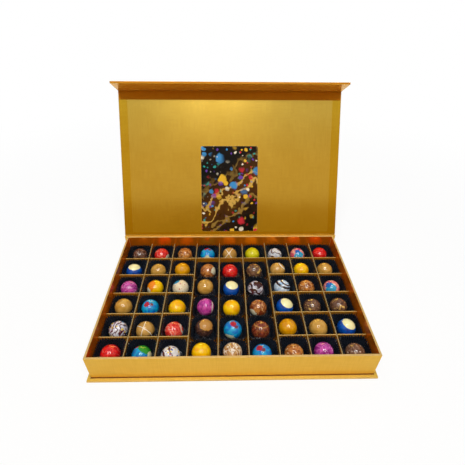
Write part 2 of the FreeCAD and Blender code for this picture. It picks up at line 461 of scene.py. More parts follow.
# Colours, roughness, coat, metal and emboss of each paper
goldWrap = goldPaper("goldWrap", ("dfb241", "e7bc4b"), 0.54, 0.05, 1.0, 0.7)
# inner walls: the wrap paper made brighter and more orange, painted light and painted reflection of gold in
# gold
goldInside = goldPaper("goldInside", ("e67c06", "ee860a"), 0.15, 0.0, 0.58, 0.4)
goldFloor = goldPaper("goldFloor", ("d8860c", "e29216"), 0.5, 0.0, 0.4, 0.4)
goldLining = goldPaper("goldLining", ("e2b64a", "eac054"), 0.16, 0.15)
goldTurn = goldPaper("goldTurn", ("dca926", "e4b42e"), 0.16, 0.15)
goldEdge = goldPaper("goldEdge", ("d8b268", "e0bd7a"), 0.55, 0.0, 0.5, 0.1)
goldBase = goldPaper("goldBase", ("dab044", "e4be58"), 0.5, 0.1, 0.35, 0.6)
# flap's inner face and lining: the lining paper made brighter and more orange, painted light and painted
# reflection of the lid
goldFlap = goldPaper("goldFlap", ("eeae30", "f4b83c"), 0.22, 0.0, 0.66)
# darker gold, painted shade: under the flap on the lid, on the flap's end face and in the inside crease
goldFold = goldPaper("goldFold", ("b46c02", "be7806"), 0.5, 0.0, 0.3)
# dark brown, painted shade of the joint between tray and base
seamGlue = cutEdge("seamGlue", ("623204", "84480c"))
goldCard = goldPaper("goldCard", ("d8921c", "e4a02c"), 0.36, 0.1, 0.6)
cardEdge = cutEdge("cardEdge", ("86703c", "ac9262"))
# the cross dividers' edges: the same cut card made lighter, painted light
crossEdge = cutEdge("crossEdge", ("a8843a", "d6b06a"))
greyboard = cutEdge("greyboard", ("77716a", "94908a"))
magnetMetal = dullMetal("magnetMetal", ("8d8f92", "b4b5b8"), 0.25)
plateMetal = dullMetal("plateMetal", ("7d8084", "a0a3a8"), 0.3)
print("box finishes made")


# Box sizes in millimetres, closed, as the CAD has them
boxSizes = {
    "coverHalf": 178.0,
    "trayHalf": (173.6, 114.2),
    "innerHalf": (171.0, 111.6),
    "baseFront": -118.6,
    "spine": (114.2, 117.0),
    "panel": 3.0,
    "trayLow": 3.0,
    "boardTop": 5.2,
    "floorTop": 5.4,
    "rim": 43.0,
    "lid": (-116.8, 116.3, 43.3, 46.3),  # front, rear, low, high
    "flap": (-117.7, -114.7, 3.6, 45.4),  # outer, inner, low, high
    "hinge": (117.0, 43.15),
    "fold": (-117.6, 46.2),
    "lidOpen": 118.5,
    "flapFold": 89.0,
    "paper": 0.2,
    "liningInset": 14.0,
    "endInset": 5.0,
    "edgeRound": 0.4,
    "sheetRound": 0.06,
    "facing": 0.9,  # how squarely a face points one way to be that side
}


def turnAbout(axis, degrees):  # about the -X direction, in millimetres
    y, z = axis
    centre = Matrix.Translation((0, y, z))
    return centre @ Matrix.Rotation(-math.radians(degrees), 4, "X") @ centre.inverted()


lidTurn = turnAbout(boxSizes["hinge"], boxSizes["lidOpen"])
flapTurn = lidTurn @ turnAbout(boxSizes["fold"], 90 - boxSizes["flapFold"])


def tubeMesh(loops):  # faces from loop to loop of corners, closed by the first and the last
    bm = bmesh.new()
    rings = [[bm.verts.new(corner) for corner in loop] for loop in loops]
    for near, far in zip(rings, rings[1:]):
        for i in range(len(near)):
            j = (i + 1) % len(near)
            bm.faces.new((near[i], near[j], far[j], far[i]))
    bm.faces.new(rings[0])
    bm.faces.new(rings[-1])
    bmesh.ops.recalc_face_normals(bm, faces=bm.faces[:])
    return bm


def prismMesh(section, halfWidth):  # a section in y and z, across the box
    return tubeMesh([[(x, y, z) for y, z in section] for x in (-halfWidth, halfWidth)])


def slabMesh(halfWidth, y, z):
    return prismMesh([(y[0], z[0]), (y[1], z[0]), (y[1], z[1]), (y[0], z[1])], halfWidth)


def plateMesh(outline, heights):  # a flat sheet from an outline in x and y
    return tubeMesh([[(x, y, z) for x, y in outline] for z in heights])


def roundEdges(bm, radius, segments=3):
    bmesh.ops.bevel(
        bm, geom=bm.edges[:], offset=radius, offset_type="OFFSET", segments=segments,
        profile=0.5, affect="EDGES", clamp_overlap=True, material=1,
    )


def layPaper(bm):  # a map in metres along each side, taken before the piece is turned into place
    layer = bm.loops.layers.uv.new("paper")
    for face in bm.faces:
        normal = [abs(c) for c in face.normal]
        flat = normal.index(max(normal))
        axes = [axis for axis in (0, 1, 2) if axis != flat]
        for loop in face.loops:
            loop[layer].uv = [loop.vert.co[axis] * mm for axis in axes]


def linked(name, bm, materials, turn=None):
    mesh = bpy.data.meshes.new(name)
    bm.to_mesh(mesh)
    bm.free()
    if turn:
        mesh.transform(turn)
    mesh.transform(Matrix.Scale(mm, 4))
    for material in materials:
        mesh.materials.append(material)
    made = bpy.data.objects.new(name, mesh)
    scene.collection.objects.link(made)
    return made


def asPiece(name, bm, materials, turn=None):
    bm.normal_update()
    layPaper(bm)
    return linked(name, bm, materials, turn)


def settle(made, body, slot, *replaced):
    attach(made, body)
    if replaced:
        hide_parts(*replaced)


def joined(first, *others):
    for other in others:
        mesh = bpy.data.meshes.new("part")
        other.to_mesh(mesh)
        other.free()
        first.from_mesh(mesh)
        bpy.data.meshes.remove(mesh)
    return first


# Tray, base and spine
def makeTrayPaper():
    b = boxSizes
    outside, inside = b["trayHalf"], b["innerHalf"]
    turns = ((outside, b["trayLow"]), (outside, b["rim"]), (inside, b["rim"]), (inside, b["boardTop"]))
    bm = tubeMesh([[(x * half[0], y * half[1], z) for x, y in squareCorners] for half, z in turns])
    slack = 0.1
    for face in bm.faces:
        middle = face.calc_center_median()
        within = abs(middle.x) < inside[0] + slack and abs(middle.y) < inside[1] + slack
        face.material_index = 2 if within else 0
        if face.normal.z > b["facing"] and not within:
            face.material_index = 1
    roundEdges(bm, b["edgeRound"])
    settle(asPiece("tray_paper", bm, [goldWrap, goldEdge, goldInside]), "tray", "gold_wrap", "tray_wrap")
    x, y = inside
    sheet = slabMesh(x, (-y, y), (b["boardTop"], b["floorTop"]))
    settle(asPiece("tray_floor_lining", sheet, [goldFloor]), "tray", "gold_lining", "tray_lining")


def makeBasePaper():
    b = boxSizes
    half = b["coverHalf"]
    front, rear = b["spine"]
    base = slabMesh(half, (b["baseFront"], rear), (0, b["panel"]))
    roundEdges(base, b["edgeRound"])
    settle(asPiece("base_paper", base, [goldBase, goldEdge]), "tray", "gold_wrap", "base_wrap")
    spine = slabMesh(half, (front - b["paper"], rear), (b["panel"], b["rim"]))
    roundEdges(spine, b["edgeRound"])
    settle(asPiece("spine_paper", spine, [goldWrap, goldEdge]), "tray", "gold_wrap", "spine_wrap")


seamSettings = {"wide": 0.7, "tall": 1.8, "rearGap": 0.3, "behind": 0.1, "topBehind": 0.02, "sunk": 0.05}


def makeSeam():  # a dark bead where the tray stands on the base, painted shade of the joint
    s = seamSettings
    x, y = boxSizes["trayHalf"]
    rear = y - s["rearGap"]
    low = boxSizes["panel"] - s["sunk"]
    high = boxSizes["panel"] + s["tall"]
    loops = []
    for px, py, ox, oy in ((-x, rear, -1, 0), (-x, -y, -1, -1), (x, -y, 1, -1), (x, rear, 1, 0)):
        reach = ((-s["behind"], low), (s["wide"], low), (-s["topBehind"], high))
        loops.append([(px + ox * out, py + oy * out, z) for out, z in reach])
    settle(asPiece("tray_seam", tubeMesh(loops), [seamGlue]), "tray", "gold_wrap")


# Lid and flap, built closed and swung open
turnInSettings = {"width": 17.0, "edge": 0.6, "heights": (-0.08, 0.02)}
flapShadeStripSettings = {"width": 12.4, "start": 0.4, "short": 1.0, "under": (0.30, 0.21)}


def paintSide(bm, direction, index):
    bm.normal_update()
    for face in bm.faces:
        if face.normal.dot(Vector(direction)) > boxSizes["facing"]:
            face.material_index = index


def sideStrip(side, y, z):  # paper turned in over a side edge, mitred at its ends
    s = turnInSettings
    outer = boxSizes["coverHalf"] - s["edge"]
    inner = boxSizes["coverHalf"] - s["width"]
    drop = outer - inner
    outline = [(side * outer, y[0] + s["edge"]), (side * outer, y[1] - s["edge"]),
               (side * inner, y[1] - drop), (side * inner, y[0] + drop)]
    return plateMesh(outline, z)


def makeLidPaper():
    b = boxSizes
    front, rear, low, high = b["lid"]
    half = b["coverHalf"]
    inner = front + b["panel"]
    body = prismMesh([(rear, low), (rear, high), (front, high), (inner, low)], half)
    paintSide(body, (0, 0, 1), 2)
    roundEdges(body, b["edgeRound"])
    heights = [low + lift for lift in turnInSettings["heights"]]
    strips = [sideStrip(side, (inner, rear), heights) for side in (-1, 1)]
    paper = asPiece("lid_paper", joined(body, *strips), [goldTurn, goldEdge, goldWrap], lidTurn)
    settle(paper, "lid", "gold_wrap", "lid_wrap")
    ends = (inner + b["endInset"], rear - b["endInset"])
    sheet = slabMesh(half - b["liningInset"], ends, (low - b["paper"], low))
    roundEdges(sheet, b["sheetRound"], segments=1)
    lining = asPiece("lid_lining_sheet", sheet, [goldLining, goldEdge], lidTurn)
    settle(lining, "lid", "gold_lining", "lid_lining")
    # a darker strip on the lid just under the flap, painted shade of the flap
    s = flapShadeStripSettings
    ends = (inner + s["start"], inner + s["width"])
    strip = slabMesh(half - s["short"], ends, [low - under for under in s["under"]])
    settle(asPiece("flap_shade_strip", strip, [goldFold], lidTurn), "lid", "gold_wrap")


def makeFlapPaper():
    b = boxSizes
    outer, inner, low, top = b["flap"]
    half = b["coverHalf"]
    mitre = top - b["panel"]
    body = prismMesh([(outer, low), (outer, top), (inner, mitre), (inner, low)], half)
    paintSide(body, (0, -1, 0), 1)
    # the flap's end face in the darker paper, painted shade
    paintSide(body, (0, 0, -1), 2)
    roundEdges(body, b["edgeRound"])
    upright = Matrix.Translation((0, inner, 0)) @ Matrix.Rotation(math.radians(90), 4, "X")
    strips = [sideStrip(side, (low, mitre), turnInSettings["heights"]) for side in (-1, 1)]
    for strip in strips:
        bmesh.ops.transform(strip, matrix=upright, verts=strip.verts[:])
    paper = asPiece("flap_paper", joined(body, *strips), [goldFlap, goldWrap, goldFold], flapTurn)
    settle(paper, "flap", "gold_wrap", "flap_wrap")
    heights = (low + b["endInset"], mitre - b["endInset"])
    sheet = slabMesh(half - b["liningInset"], (inner, inner + b["paper"]), heights)
    roundEdges(sheet, b["sheetRound"], segments=1)
    lining = asPiece("flap_lining_sheet", sheet, [goldFlap, goldFlap], flapTurn)
    settle(lining, "flap", "gold_lining", "flap_lining")


# Paper creases, each one ribbon laid along a bent path from one body to the next
creaseSettings = {
    "paper": 0.12,
    "short": 0.3,
    "spinePath": ((0.09, -9.0), (0.09, -0.6), (0.12, -0.1), (0.25, 0.35)),  # from the hinge line
    "lidRearPath": ((0.09, -2.7), (0.09, -0.5), (-0.5, 0.09), (-7.0, 0.09)),  # from the lid's rear edge
    "hingeBend": ((0.0, -0.35), (0.9, 0.15)),  # from the hinge line
    "lidFrontPath": ((7.0, 0.08), (0.8, 0.08), (0.15, 0.05)),  # from the fold, at the lid's top
    "flapFrontPath": ((-0.05, -0.15), (-0.08, -0.8), (-0.08, -7.0)),  # from the fold, at the flap's face
    "lidInnerPath": ((5.5, -0.05), (0.8, -0.06), (0.16, -0.07)),  # from the inner corner
    "flapInnerPath": ((0.07, -0.16), (0.06, -0.8), (0.05, -5.5)),
}


def pathFrom(origin, offsets, turn=None):
    path = [(origin[0] + y, origin[1] + z) for y, z in offsets]
    if turn:
        path = [tuple(turn @ Vector((0, y, z)))[1:] for y, z in path]
    return path


def ribbonMesh(path, thickness, halfWidth):
    sides = [[], []]
    for i, (y, z) in enumerate(path):
        before, after = path[max(i - 1, 0)], path[min(i + 1, len(path) - 1)]
        along = Vector((after[0] - before[0], after[1] - before[1])).normalized()
        for side, sign in zip(sides, (1, -1)):
            side.append((y - sign * along.y * thickness / 2, z + sign * along.x * thickness / 2))
    return prismMesh(sides[0] + sides[1][::-1], halfWidth)


def makeCrease(name, path, material, bodies, start, end):
    s = creaseSettings
    made = asPiece(name, ribbonMesh(path, s["paper"], boxSizes["coverHalf"] - s["short"]), [material])
    start[0] * mm
    start[1] * mm
    end[0] * mm
    end[1] * mm
    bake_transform(made)


def makeCreases():
    b, s = boxSizes, creaseSettings
    front, rear, low, high = b["lid"]
    outer, inner = b["flap"][:2]
    path = pathFrom(b["hinge"], s["spinePath"]) + pathFrom((rear, high), s["lidRearPath"], lidTurn)
    makeCrease("hinge_crease", path, goldWrap, ("tray", "lid"), *pathFrom(b["hinge"], s["hingeBend"]))
    path = pathFrom((b["fold"][0], high), s["lidFrontPath"], lidTurn)
    path += pathFrom((outer, b["fold"][1]), s["flapFrontPath"], flapTurn)
    makeCrease("fold_crease", path, goldWrap, ("lid", "flap"), path[1], path[4])
    path = pathFrom((inner, low), s["lidInnerPath"], lidTurn)  # the turned-in paper goes on over the mitre
    path += pathFrom((inner, low), s["flapInnerPath"], flapTurn)
    # in the darker paper, painted shade in the crease
    makeCrease("fold_crease_inside", path, goldFold, ("lid", "flap"), path[1], path[4])


makeTrayPaper()
makeBasePaper()
makeSeam()
makeLidPaper()
makeFlapPaper()
makeCreases()
print("wraps, linings and creases made")


# Card on the lid: a dark glossy print with gold ribbons and spattered colour
cardSettings = {
    "x": (-48.5, 44.5),
    "y": (-29.6, 110.4),
    "z": (42.7, 43.1),
    "corner": 3.0,
    "cornerSteps": 6,
    "edge": 0.08,
    "core": ("b9b2a4", "d8d2c6"),
    "specular": 0.14,
    "roughness": (0.22, 0.15),  # least, and by fine noise
    "bump": (0.12, 0.0002),
    "ground": ("070608", "1c0f0a"),
    "groundContrast": (0.35, 0.75),
    "glow": "5e3406",
    "gold": ("b47a1c", "f4d070"),
    "swirl": (3.2, 3.0, 0.8),  # scale, detail, distortion
    "fine": (14.0, 4.0, 0.6),
    "slope": (0.75, 0.55, 0.55),  # by height, by width, by swirl
    "band": (0.12, 0.02, 0.42),  # middle, inner edge, outer edge
    "bandShare": 0.75,
    "ribbons": 34.0,
    "ribbonWander": 3.0,
    "ribbonEdge": (0.35, 0.95),
    "ribbonShare": 0.95,
    "spatter": (  # scale, size, share left out, shift
        (5.0, 0.62, 0.42, 0.0), (9.0, 0.56, 0.50, 4.0), (17.0, 0.52, 0.55, 9.0)),
    "ragged": (16.0, 0.05),
    "spotEdge": (0.55, 0.75),
    "crowd": (2.2, 0.42, 0.58),  # scale of the clusters, and where they end
    "spatterColours": (
        (0.0, "c92a3a"), (0.2, "3f8fd0"), (0.36, "e8b532"),
        (0.56, "6a3fa8"), (0.7, "f0e6d2"), (0.84, "2fa7a0")),
}


def cardPrint():
    s = cardSettings
    made = Finish("cardPrint", {"Specular IOR Level": s["specular"]})
    x, y, z = made.parts(made.node("ShaderNodeUVMap", {"uv_map": "paper"}))
    u = x * 10.0  # decimetres across and up
    v = y * -10.0
    place = made.vector(u, v)
    swirl = made.noise(place, *s["swirl"])
    fine = made.noise(place, *s["fine"])
    byHeight, byWidth, bySwirl = s["slope"]
    slope = v * byHeight - u * byWidth + bySwirl * swirl
    dark = made.between(made.step(swirl, *s["groundContrast"]), s["ground"])
    middle, inner, outer = s["band"]
    band = 1 - made.step(abs(slope + middle), inner, outer)
    warm = made.mix(band * s["bandShare"], dark, hexColour(s["glow"]))
    waves = (slope * s["ribbons"] + s["ribbonWander"] * fine).of("SINE")
    ribbons = made.step(waves, *s["ribbonEdge"]) * band
    shown = made.mix(ribbons * s["ribbonShare"], warm, made.between(fine, s["gold"]))
    stops = [(start, hexColour(colour)) for start, colour in s["spatterColours"]]
    near, far = s["spotEdge"]
    crowdScale, sparse, full = s["crowd"]
    for scale, size, amount, shift in s["spatter"]:
        moved = made.vec("ADD", place, (shift, shift * 0.7, 0.0))
        away, lot, colour = made.drops(moved, scale, s["ragged"], stops)
        crowd = made.step(made.noise(moved, crowdScale, 1.0), sparse, full)
        inside = 1 - made.step(away, size * near, size * far)
        shown = made.mix(inside * (lot > amount) * crowd, shown, colour)
    made.feed("Base Color", shown)
    least, byFine = s["roughness"]
    made.feed("Roughness", least + byFine * fine)
    made.bump(fine, *s["bump"])
    return made.material


def makeLidCard():
    s = cardSettings
    radius, steps = s["corner"], s["cornerSteps"]
    outline = []
    for right, rear, start in ((0, 0, 180), (1, 0, 270), (1, 1, 0), (0, 1, 90)):
        centreX = s["x"][right] + radius * (1 - 2 * right)
        centreY = s["y"][rear] + radius * (1 - 2 * rear)
        for i in range(steps + 1):
            angle = math.radians(start + 90 * i / steps)
            outline.append((centreX + radius * math.cos(angle), centreY + radius * math.sin(angle)))
    bm = plateMesh(outline, s["z"])
    roundEdges(bm, s["edge"], segments=1)
    card = asPiece("lid_card_print", bm, [cardPrint(), cutEdge("cardCore", s["core"])], lidTurn)
    settle(card, "lid", "printed_card", "lid_card")


makeLidCard()
print("card made")


# Dividers: the CAD's slotted plates, a little warped, gold faces and raw cut edges
dividerSettings = {
    "step": 9.5,  # from cut to cut along a plate
    "bow": 0.35,
    "bowPitch": 0.018,
    "ripple": 0.12,
    "ripplePitch": 0.09,
    "footShare": 0.4,  # of the warp, where a plate stands on the floor
    "merge": 0.001,
    "flat": 0.01,
    "facing": 0.7,
    "seedStep": 0.37,
}


def makeDivider(node):
    s = dividerSettings
    bm = bmesh.new()
    bm.from_mesh(cadNodes[node].data)
    bmesh.ops.scale(bm, vec=(1 / mm,) * 3, verts=bm.verts[:])
    bmesh.ops.remove_doubles(bm, verts=bm.verts[:], dist=s["merge"])
    bmesh.ops.dissolve_limit(bm, angle_limit=s["flat"], verts=bm.verts[:], edges=bm.edges[:])
    low = [min(v.co[axis] for v in bm.verts) for axis in range(3)]
    high = [max(v.co[axis] for v in bm.verts) for axis in range(3)]
    along = 1 if high[1] - low[1] > high[0] - low[0] else 0
    across = 1 - along
    normal = [0.0, 0.0, 0.0]
    normal[along] = 1.0
    count = int((high[along] - low[along]) / s["step"])
    for i in range(1, count):
        point = [0.0, 0.0, 0.0]
        point[along] = low[along] + (high[along] - low[along]) * i / count
        geometry = bm.verts[:] + bm.edges[:] + bm.faces[:]
        bmesh.ops.bisect_plane(bm, geom=geometry, plane_co=point, plane_no=normal)
    layPaper(bm)
    for face in bm.faces:
        face.material_index = 0 if abs(face.normal[across]) > s["facing"] else 1
    seed = sum(ord(letter) for letter in node) * s["seedStep"]
    for vert in bm.verts:
        run = vert.co[along]
        lift = (vert.co.z - low[2]) / (high[2] - low[2])
        bow = s["bow"] * noise.noise((run * s["bowPitch"], seed, 0.0))
        ripple = s["ripple"] * noise.noise((run * s["ripplePitch"], seed + 7.0, lift))
        vert.co[across] += (bow + ripple) * (s["footShare"] + (1 - s["footShare"]) * lift)
    # the cross dividers' lighter edge colour is painted light
    made = linked(node + "_sheet", bm, [goldCard, cardEdge if along == 1 else crossEdge])
    settle(made, "divider_insert", "gold_card", node)


for nodeName in sorted(n for n in cadNodes if "_divider" in n):
    makeDivider(nodeName)
print("dividers made")


# Contents: where each chocolate lies and how it is finished, rear row first
chocolateRows = [
    "dark red copper blueSplash milkLines lime whiteDrizzle pinkSplash redPlain",
    "capped milk mustard copperCream redPlain flaked milkSwoosh yellow milk",
    "magenta yellowOrange creamSpots milk capped darkDrizzle paleBlue copper pinkSplash",
    "milk blueSplash yellow magentaCream yellow copperCream capped flaked flaked",
    "darkSpatter milkLines redMarbled milkHalf blueSplash brownGold mustard milk capped",
    "redPlain greenSplash whiteSpatter yellow milkVeined blueSplash copper magenta speckled",
]
familyOf = {
    "dark": "dark", "flaked": "dark", "speckled": "dark",
    "red": "red", "redMarbled": "red", "redPlain": "red",
    "copper": "copper", "copperCream": "copper", "brownGold": "copper",
    "blueSplash": "splash", "pinkSplash": "splash", "greenSplash": "splash",
    "milk": "milk", "milkLines": "milk", "milkSwoosh": "milk", "milkHalf": "milk", "milkVeined": "milk",
    "yellow": "yellow", "mustard": "yellow", "lime": "yellow", "yellowOrange": "yellow",
    "whiteDrizzle": "white", "darkDrizzle": "white", "creamSpots": "white", "paleBlue": "white",
    "whiteSpatter": "white", "darkSpatter": "white",
    "capped": "capped", "magenta": "magenta", "magentaCream": "magenta",
}
cellSettings = {
    "pitch": (38.0, 37.2),
    "left": -171.0,
    "rear": 111.6,
    "floor": 5.4,
    "columns": 9,
    "sideColumns": 3,  # the cells with cross dividers, on each side
}


def cellCentre(row, column):
    s = cellSettings
    across, down = s["pitch"]
    return Vector((s["left"] + across * (column + 0.5), s["rear"] - down * (row + 0.5), s["floor"]))


# Where each chocolate has settled: millimetres right and back of the middle of its cell
settled = [
    [(0, 1), (-2, 1), (-1, 2), (-1, 1), (-2, 2), (-2, 2), (-2, 0), (-2, 0), (-2, 1)],
    [(-2, 0), (-2, 0), (-2, 2), (1, -1), (-2, -2), (-2, -1), (-2, 1), (-2, 0), (-2, 0)],
    [(-2, 0), (-1, 1), (-1, 1), (-2, 2), (-1, -2), (-2, -2), (0, 0), (-1, -1), (-1, -2)],
    [(-2, 2), (-2, 0), (-2, -1), (0, 1), (-1, -2), (-1, -2), (-1, 0), (0, -1), (0, 0)],
    [(0, 0), (-2, -1), (-2, -2), (0, 2), (0, -1), (-1, -2), (-2, 1), (1, 0), (1, 0)],
    [(-1, 1), (0, -1), (-2, -2), (-2, 2), (-1, 2), (-2, -1), (0, -1), (0, 1), (1, -1)],
]


cells = []
for rowNumber, rowText in enumerate(chocolateRows):
    for columnNumber, kindName in enumerate(rowText.split()):
        cells.append((rowNumber, columnNumber, kindName))


# Geometry Nodes helpers
class Shape(Nodes):  # a tree with named sizes
    def __init__(self, name, sizes):
        super().__init__(bpy.data.node_groups.new(name, "GeometryNodeTree"))
        face = self.tree.interface
        face.new_socket("Geometry", in_out="INPUT", socket_type="NodeSocketGeometry")
        for label in sizes:
            face.new_socket(label, in_out="INPUT", socket_type="NodeSocketFloat")
        face.new_socket("Material", in_out="INPUT", socket_type="NodeSocketMaterial")
        face.new_socket("Geometry", in_out="OUTPUT", socket_type="NodeSocketGeometry")
        self.given = self.node("NodeGroupInput")

    def position(self):
        return self.node("GeometryNodeInputPosition")

    def moved(self, geometry, how, value):  # to a Position or by an Offset
        return self.node("GeometryNodeSetPosition", {}, {"Geometry": geometry, how: value})

    def store(self, geometry, label, value, kind="FLOAT_VECTOR"):
        settings = {"data_type": kind, "domain": "POINT"}
        values = {"Geometry": geometry, "Name": label, "Value": value}
        return self.node("GeometryNodeStoreNamedAttribute", settings, values)

    def stored(self, label, kind="FLOAT_VECTOR"):
        return self.node("GeometryNodeInputNamedAttribute", {"data_type": kind}, {"Name": label})

    def repeated(self, points, instance, **turned):
        values = {"Points": points, "Instance": instance, **turned}
        placed = self.node("GeometryNodeInstanceOnPoints", {}, values)
        return self.node("GeometryNodeRealizeInstances", {}, {"Geometry": placed})

    def close(self, geometry):
        values = {"Geometry": geometry, "Material": self.given.also("Material")}
        dressed = self.node("GeometryNodeSetMaterial", {}, values)
        output = self.tree.nodes.new("NodeGroupOutput")
        self.tree.links.new(dressed.socket, output.inputs[0])
        return self.tree


def pointCloud(name, points, attributes):
    mesh = bpy.data.meshes.new(name)
    mesh.from_pydata(points, [], [])
    for label, (kind, values) in attributes.items():
        layer = mesh.attributes.new(label, kind, "POINT")
        for i, value in enumerate(values):
            if kind == "FLOAT_VECTOR":
                layer.data[i].vector = value
            else:
                layer.data[i].value = value
    made = bpy.data.objects.new(name, mesh)
    scene.collection.objects.link(made)
    return made


def evaluated(made, tree, values, wall=None):  # runs the tree, and gives back a plain mesh
    modifier = made.modifiers.new("shape", "NODES")
    modifier.node_group = tree
    for item in tree.interface.items_tree:
        if item.in_out == "INPUT" and item.name in values:
            modifier[item.identifier] = values[item.name]
    if wall:
        solid = made.modifiers.new("wall", "SOLIDIFY")
        solid.thickness = wall
        solid.offset = 0.0
        solid.use_even_offset = False
    bpy.context.view_layer.update()
    graph = bpy.context.evaluated_depsgraph_get()
    mesh = bpy.data.meshes.new_from_object(made.evaluated_get(graph), depsgraph=graph)
    made.modifiers.clear()
    made.data = mesh
    return made


# Pleated paper cups: the names with a capital are the tree's own inputs
cupSettings = {
    "Floor radius": 12.9 * mm,
    "Rim half": 17.1 * mm,
    "Height": 20.2 * mm,
    "Pleat depth": 2.5 * mm,
    "Wobble": 1.5 * mm,
    "pleats": 40,
    "pointsInPleat": 4,
    "rings": 11,
    "floorShare": 0.25,  # of the rings
    "squareness": 7.0,
    "flare": 0.8,
    "floorPleats": 0.12,  # how deep they are at the floor's edge, as a share
    "tooth": 0.05,
    "wobbleScale": 95.0,
    "seam": 0.02 * mm,
    "paper": 0.13 * mm,
    "lift": 0.18,
    "tall": (0.98, 1.10),
    "pressed": (0.72, 0.82),  # height in the middle columns
    "middleDepth": 1.05,
    "tip": 0.4,  # degrees either way
}
cupSizes = {key: value for key, value in cupSettings.items() if key[0].isupper()}


def cupTree():
    s = cupSettings
    shape = Shape("pleatedCups", cupSizes)
    floorRadius, rimHalf, fullHeight, pleatDepth, wobble = (shape.given.also(label) for label in cupSizes)
    grid = shape.node("GeometryNodeMeshGrid", {}, {
        "Size X": 1.0, "Size Y": 1.0,
        "Vertices X": s["pleats"] * s["pointsInPleat"] + 1, "Vertices Y": s["rings"]})
    x, y, z = shape.parts(shape.position())
    turnShare = x + 0.5
    run = y + 0.5
    angle = turnShare * (2 * math.pi)
    cosine, sine = angle.of("COSINE"), angle.of("SINE")
    inFloor = (run / s["floorShare"]).least(1.0)
    rise = ((run - s["floorShare"]) / (1 - s["floorShare"])).most(0.0)
    power = s["squareness"]
    square = (abs(cosine) ** power + abs(sine) ** power) ** (-1 / power)
    fold = abs((turnShare * s["pleats"]).of("FRACT") - 0.5) * 4.0 - 1.0  # from -1 to 1 and back
    flare = rise ** s["flare"]
    radius = floorRadius * inFloor * (1 - flare) + rimHalf * square * flare
    deep = s["floorPleats"] * inFloor + (1 - s["floorPleats"]) * rise
    radius = radius + pleatDepth * 0.5 * fold * deep
    height = fullHeight * rise * (1 + s["tooth"] * fold * rise * sine)
    body = shape.moved(grid, "Position", shape.vector(radius * cosine, radius * sine, height))
    body = shape.node("GeometryNodeMergeByDistance", {}, {"Geometry": body, "Distance": s["seam"]})
    body = shape.store(body, "rise", shape.parts(shape.position())[2] / fullHeight, "FLOAT")
    cups = shape.repeated(shape.given, body, Scale=shape.stored("size"), Rotation=shape.stored("spin"))
    ripple = shape.noise(shape.position(), s["wobbleScale"], out="Color")
    centred = shape.vec("SUBTRACT", ripple, (0.5, 0.5, 0.5))
    offset = shape.scaled(centred, wobble * shape.stored("rise", "FLOAT"))
    return shape.close(shape.moved(cups, "Offset", offset))


glassineSettings = {
    "colours": ("0e1218", "242b38"),
    "specular": 1.0,
    "cloud": 60.0,
    "fibre": 420.0,
    "roughness": (0.22, 0.12),  # least, and by fibre
    "bump": (0.1, 0.0001),
}


def glassine():
    s = glassineSettings
    made = Finish("blackGlassine", {"Specular IOR Level": s["specular"]})
    where = made.node("ShaderNodeTexCoord", out="Object")
    fibre = made.noise(where, s["fibre"], 3.0)
    least, byFibre = s["roughness"]
    made.feed("Base Color", made.between(made.noise(where, s["cloud"]), s["colours"]))
    made.feed("Roughness", least + byFibre * fibre)
    made.bump(fibre, *s["bump"])
    return made.material


def makeCups():
    s = cupSettings
    tree = cupTree()
    given = {**cupSizes, "Material": glassine()}
    dice = random.Random(7)
    side = cellSettings["sideColumns"]
    families = {}
    for row, column, kind in cells:
        middle = side <= column < cellSettings["columns"] - side and row > 0
        tall = dice.uniform(*(s["pressed"] if middle else s["tall"]))
        size = (1.0, s["middleDepth"] if middle else 1.0, tall)
        spin = [math.radians(dice.uniform(-s["tip"], s["tip"])) for axis in "xy"] + [0.0]
        place = (cellCentre(row, column) + Vector((0, 0, s["lift"]))) * mm
        families.setdefault(familyOf[kind], []).append((place, size, spin))
    for family, found in sorted(families.items()):
        places, sizes, spins = (list(values) for values in zip(*found))
        attributes = {"size": ("FLOAT_VECTOR", sizes), "spin": ("FLOAT_VECTOR", spins)}
        made = evaluated(pointCloud(family + "_paper_cups", places, attributes), tree, given, s["paper"])
        settle(made, family + "_pieces", "black_glassine", family + "_cups")


makeCups()
print("cups made")
